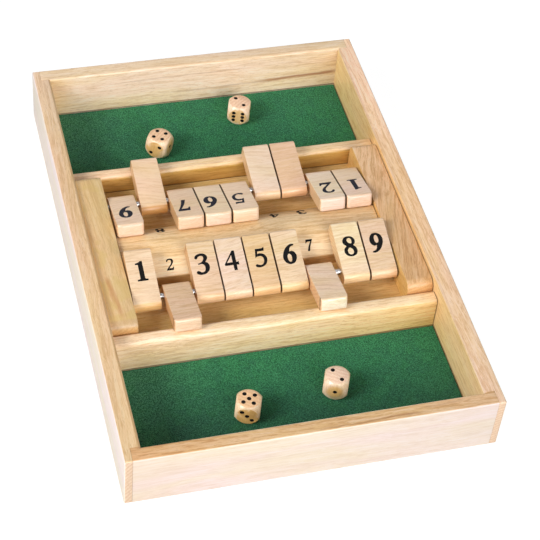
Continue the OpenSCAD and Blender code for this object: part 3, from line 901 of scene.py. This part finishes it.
black = ink("number_ink", (6, 5, 6))
blue = ink("number_ink_far", (28, 30, 42))
slope_angle = math.atan2(BEAM_TOP - BEAM_SHOULDER, (BEAM_FOOT_W - BEAM_TOP_W) / 2)
for row, side, paint, slope_bold in (("near", 1, black, BOLD), ("far", -1, blue, FAR_SLOPE_BOLD)):
    home = Matrix.Rotation(0 if side > 0 else math.pi, 4, "Z")
    for n in range(1, 10):
        node = f"{row}_tile_{n}"
        lo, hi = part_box(node)
        x = (lo.x + hi.x) / 2 / MM * side
        tilt = 180 - RAIL_TILT if n in FLIPPED[row] else BEAM_TILT
        rod = home @ Matrix.Translation((x, -ROD_Y, ROD_Z)) @ Matrix.Rotation(math.radians(tilt), 4, "X")
        dx, out = DIGIT_SPOT.get((row, n), PLAIN_SPOT)
        face = rod @ Matrix.Translation((dx, out, TILE_T / 2))
        digit(f"{row}_number_{n}", n, face, node, paint)
        dx, down = SLOPE_SPOT.get((row, n), PLAIN_SLOPE_SPOT)
        edge = home @ Matrix.Translation((x + dx, -BEAM_TOP_W / 2, BEAM_TOP))
        slope = edge @ Matrix.Rotation(slope_angle, 4, "X") @ Matrix.Translation((0, -down, 0))
        digit(f"{row}_beam_number_{n}", n, slope, "box", black, SLOPE_SCALE[row], slope_bold)

# Floor: nearly white with faint shadows to the camera, and plain grey for the light that it throws back
floor_bm = bmesh.new()
bmesh.ops.create_grid(floor_bm, x_segments=1, y_segments=1, size=6)
floor_paint = Paint("floor_paint")
rays = floor_paint.node("LightPath").outputs
seen = floor_paint.math("MAXIMUM", rays["Is Camera Ray"], rays["Is Transmission Ray"])
plain = floor_paint.node("BsdfDiffuse", {"Color": (0.62, 0.62, 0.62, 1)})
part = floor_paint.node("BsdfDiffuse", {"Color": (0.20, 0.20, 0.20, 1)})
glow = floor_paint.node("Emission", {"Color": (1, 1, 1, 1), "Strength": 0.90})
both = floor_paint.node("AddShader", {0: part.outputs[0], 1: glow.outputs[0]})
chosen = floor_paint.node("MixShader", {0: seen, 1: plain.outputs[0], 2: both.outputs[0]})
floor_paint.put(chosen.outputs[0], floor_paint.tree.nodes["Material Output"].inputs[0])
floor = mesh_object("floor", floor_bm, [floor_paint.material])

# World: white to the camera and in reflections, and a dim cool light otherwise
scene = bpy.context.scene
world = bpy.data.worlds.new("studio")
scene.world = world
world.use_nodes = True
sky = Nodes(world.node_tree)
rays = sky.node("LightPath").outputs
shown = sky.math("MAXIMUM", rays["Is Camera Ray"],
                 sky.math("MAXIMUM", rays["Is Glossy Ray"], rays["Is Transmission Ray"]))
lit = sky.tree.nodes["Background"]
sky.put((0.95, 0.985, 1.04, 1), lit.inputs["Color"])
sky.put(0.24, lit.inputs["Strength"])
white = sky.node("Background", {"Color": (1, 1, 1, 1), "Strength": 1.0})
choice = sky.node("MixShader", {0: shown, 1: lit.outputs[0], 2: white.outputs[0]})
sky.put(choice.outputs[0], sky.tree.nodes["World Output"].inputs[0])


def lamp(name, place, size, watts, tint=(1, 1, 1)):
    """A round lamp that looks at the middle of the object."""
    aim = Vector((0, 0, 0.02))
    data = bpy.data.lights.new(name, "AREA")
    data.shape = "DISK"
    data.size = size
    data.energy = watts
    data.color = tint
    made = bpy.data.objects.new(name, data)
    made.location = place
    made.rotation_euler = (aim - Vector(place)).to_track_quat("-Z", "Y").to_euler()
    scene.collection.objects.link(made)


lamp("key", (-2.04, -0.74, 1.60), 1.4, 53, (1, 0.985, 0.955))
lamp("front_fill", (0.6, -2.5, 1.3), 1.8, 56)

# Camera: its lens, directions and place were found by matching the built model to the photograph
camera = bpy.data.cameras.new("camera")
camera.sensor_fit = "HORIZONTAL"
camera.sensor_width = 36
camera.lens = 112.07
camera.clip_start = 0.05
camera.clip_end = 50
eye = bpy.data.objects.new("camera", camera)
right = Vector((0.9669, -0.24459, 0.07266))
up = Vector((0.13188, 0.72285, 0.67831))
back = Vector((-0.21843, -0.64628, 0.73118))
spot = Vector((-0.23796, -0.75376, 0.84508))
eye.matrix_world = Matrix([[right[i], up[i], back[i], spot[i]] for i in range(3)] + [[0, 0, 0, 1]])
scene.collection.objects.link(eye)
scene.camera = eye
scene.view_settings.view_transform = "Standard"

bpy.context.view_layer.update()
